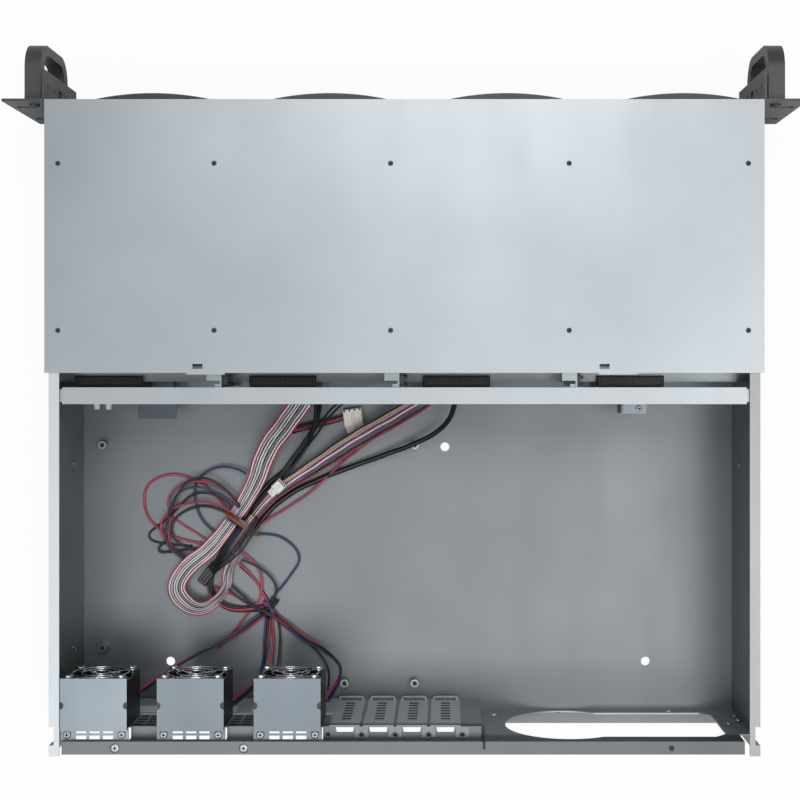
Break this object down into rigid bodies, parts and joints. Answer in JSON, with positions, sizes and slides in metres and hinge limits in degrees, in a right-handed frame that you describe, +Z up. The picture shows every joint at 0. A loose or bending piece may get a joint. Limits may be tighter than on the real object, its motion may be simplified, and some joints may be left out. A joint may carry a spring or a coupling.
{
  "type": "empty rackmount server case",
  "caption": "Open-topped sheet steel rack case with front drive trays, short top cover, rear fans, power supply window, slot covers and grab handles.",
  "frame": {"origin": "middle of the underside, halfway between the handle fronts and the rear edge", "axes": "+X to the right seen from above with the drive front away, +Y towards the drive front, +Z up"},
  "size_m": [0.4826, 0.4306, 0.0882],
  "materials": {
    "galvanised_sheet": "satin zinc plated",
    "black_plastic": "matt",
    "guard_wire": "bright plated",
    "tray_plastic": "satin",
    "dark_coat": "satin powder coat",
    "plated_metal": "bright",
    "board": "matt",
    "cable_sheath": "satin",
    "tie_band": "satin",
    "white_plastic": "satin"
  },
  "bodies": {
    "chassis": {"chassis_pan": "galvanised_sheet", "rear_panel": "galvanised_sheet", "bay_dividers": "galvanised_sheet", "bay_shelves": "galvanised_sheet", "bay_rear_plate": "galvanised_sheet", "slot_cover_1": "galvanised_sheet", "slot_cover_2": "galvanised_sheet", "slot_cover_3": "galvanised_sheet", "slot_cover_4": "galvanised_sheet", "fan_bracket_1": "galvanised_sheet", "fan_bracket_2": "galvanised_sheet", "fan_bracket_3": "galvanised_sheet", "top_cover": "galvanised_sheet", "cross_bar": "galvanised_sheet", "io_plate": "galvanised_sheet", "fan_frame_1": "black_plastic", "fan_guard_1": "guard_wire", "fan_frame_2": "black_plastic", "fan_guard_2": "guard_wire", "fan_frame_3": "black_plastic", "fan_guard_3": "guard_wire", "rack_ear_left": "dark_coat", "rack_ear_right": "dark_coat", "handle_left": "dark_coat", "handle_right": "dark_coat", "standoffs": "plated_metal", "screws": "plated_metal", "backplane": "board", "backplane_sockets": "black_plastic", "bay_latches": "black_plastic", "harness_ribbon": "cable_sheath", "harness_loop": "cable_sheath", "harness_sleeve": "cable_sheath", "harness_power": "cable_sheath", "harness_data": "cable_sheath", "harness_tail": "cable_sheath", "spare_lead_1": "cable_sheath", "spare_lead_2": "cable_sheath", "fan_lead_1": "cable_sheath", "fan_lead_2": "cable_sheath", "fan_lead_3": "cable_sheath", "cable_tie": "tie_band", "lead_splice": "cable_sheath", "connectors": "white_plastic"},
    "rotor_1": {"fan_rotor_1": "black_plastic"},
    "rotor_2": {"fan_rotor_2": "black_plastic"},
    "rotor_3": {"fan_rotor_3": "black_plastic"},
    "tray_11": {"drive_tray_11": "tray_plastic"},
    "tray_12": {"drive_tray_12": "tray_plastic"},
    "tray_13": {"drive_tray_13": "tray_plastic"},
    "tray_14": {"drive_tray_14": "tray_plastic"},
    "tray_21": {"drive_tray_21": "tray_plastic"},
    "tray_22": {"drive_tray_22": "tray_plastic"},
    "tray_23": {"drive_tray_23": "tray_plastic"},
    "tray_24": {"drive_tray_24": "tray_plastic"},
    "tray_31": {"drive_tray_31": "tray_plastic"},
    "tray_32": {"drive_tray_32": "tray_plastic"},
    "tray_33": {"drive_tray_33": "tray_plastic"},
    "tray_34": {"drive_tray_34": "tray_plastic"}
  },
  "joints": [
    {"name": "fan_spin_1", "type": "hinge", "parent": "chassis", "child": "rotor_1", "pos_m": [-0.1865, -0.185, 0.0665], "axis": [0, 1, 0], "continuous": true},
    {"name": "fan_spin_2", "type": "hinge", "parent": "chassis", "child": "rotor_2", "pos_m": [-0.1284, -0.185, 0.0665], "axis": [0, 1, 0], "continuous": true},
    {"name": "fan_spin_3", "type": "hinge", "parent": "chassis", "child": "rotor_3", "pos_m": [-0.0703, -0.185, 0.0665], "axis": [0, 1, 0], "continuous": true},
    {"name": "tray_slide_11", "type": "slide", "parent": "chassis", "child": "tray_11", "axis": [0, 1, 0], "range_m": [0, 0.15]},
    {"name": "tray_slide_12", "type": "slide", "parent": "chassis", "child": "tray_12", "axis": [0, 1, 0], "range_m": [0, 0.15]},
    {"name": "tray_slide_13", "type": "slide", "parent": "chassis", "child": "tray_13", "axis": [0, 1, 0], "range_m": [0, 0.15]},
    {"name": "tray_slide_14", "type": "slide", "parent": "chassis", "child": "tray_14", "axis": [0, 1, 0], "range_m": [0, 0.15]},
    {"name": "tray_slide_21", "type": "slide", "parent": "chassis", "child": "tray_21", "axis": [0, 1, 0], "range_m": [0, 0.15]},
    {"name": "tray_slide_22", "type": "slide", "parent": "chassis", "child": "tray_22", "axis": [0, 1, 0], "range_m": [0, 0.15]},
    {"name": "tray_slide_23", "type": "slide", "parent": "chassis", "child": "tray_23", "axis": [0, 1, 0], "range_m": [0, 0.15]},
    {"name": "tray_slide_24", "type": "slide", "parent": "chassis", "child": "tray_24", "axis": [0, 1, 0], "range_m": [0, 0.15]},
    {"name": "tray_slide_31", "type": "slide", "parent": "chassis", "child": "tray_31", "axis": [0, 1, 0], "range_m": [0, 0.15]},
    {"name": "tray_slide_32", "type": "slide", "parent": "chassis", "child": "tray_32", "axis": [0, 1, 0], "range_m": [0, 0.15]},
    {"name": "tray_slide_33", "type": "slide", "parent": "chassis", "child": "tray_33", "axis": [0, 1, 0], "range_m": [0, 0.15]},
    {"name": "tray_slide_34", "type": "slide", "parent": "chassis", "child": "tray_34", "axis": [0, 1, 0], "range_m": [0, 0.15]}
  ]
}
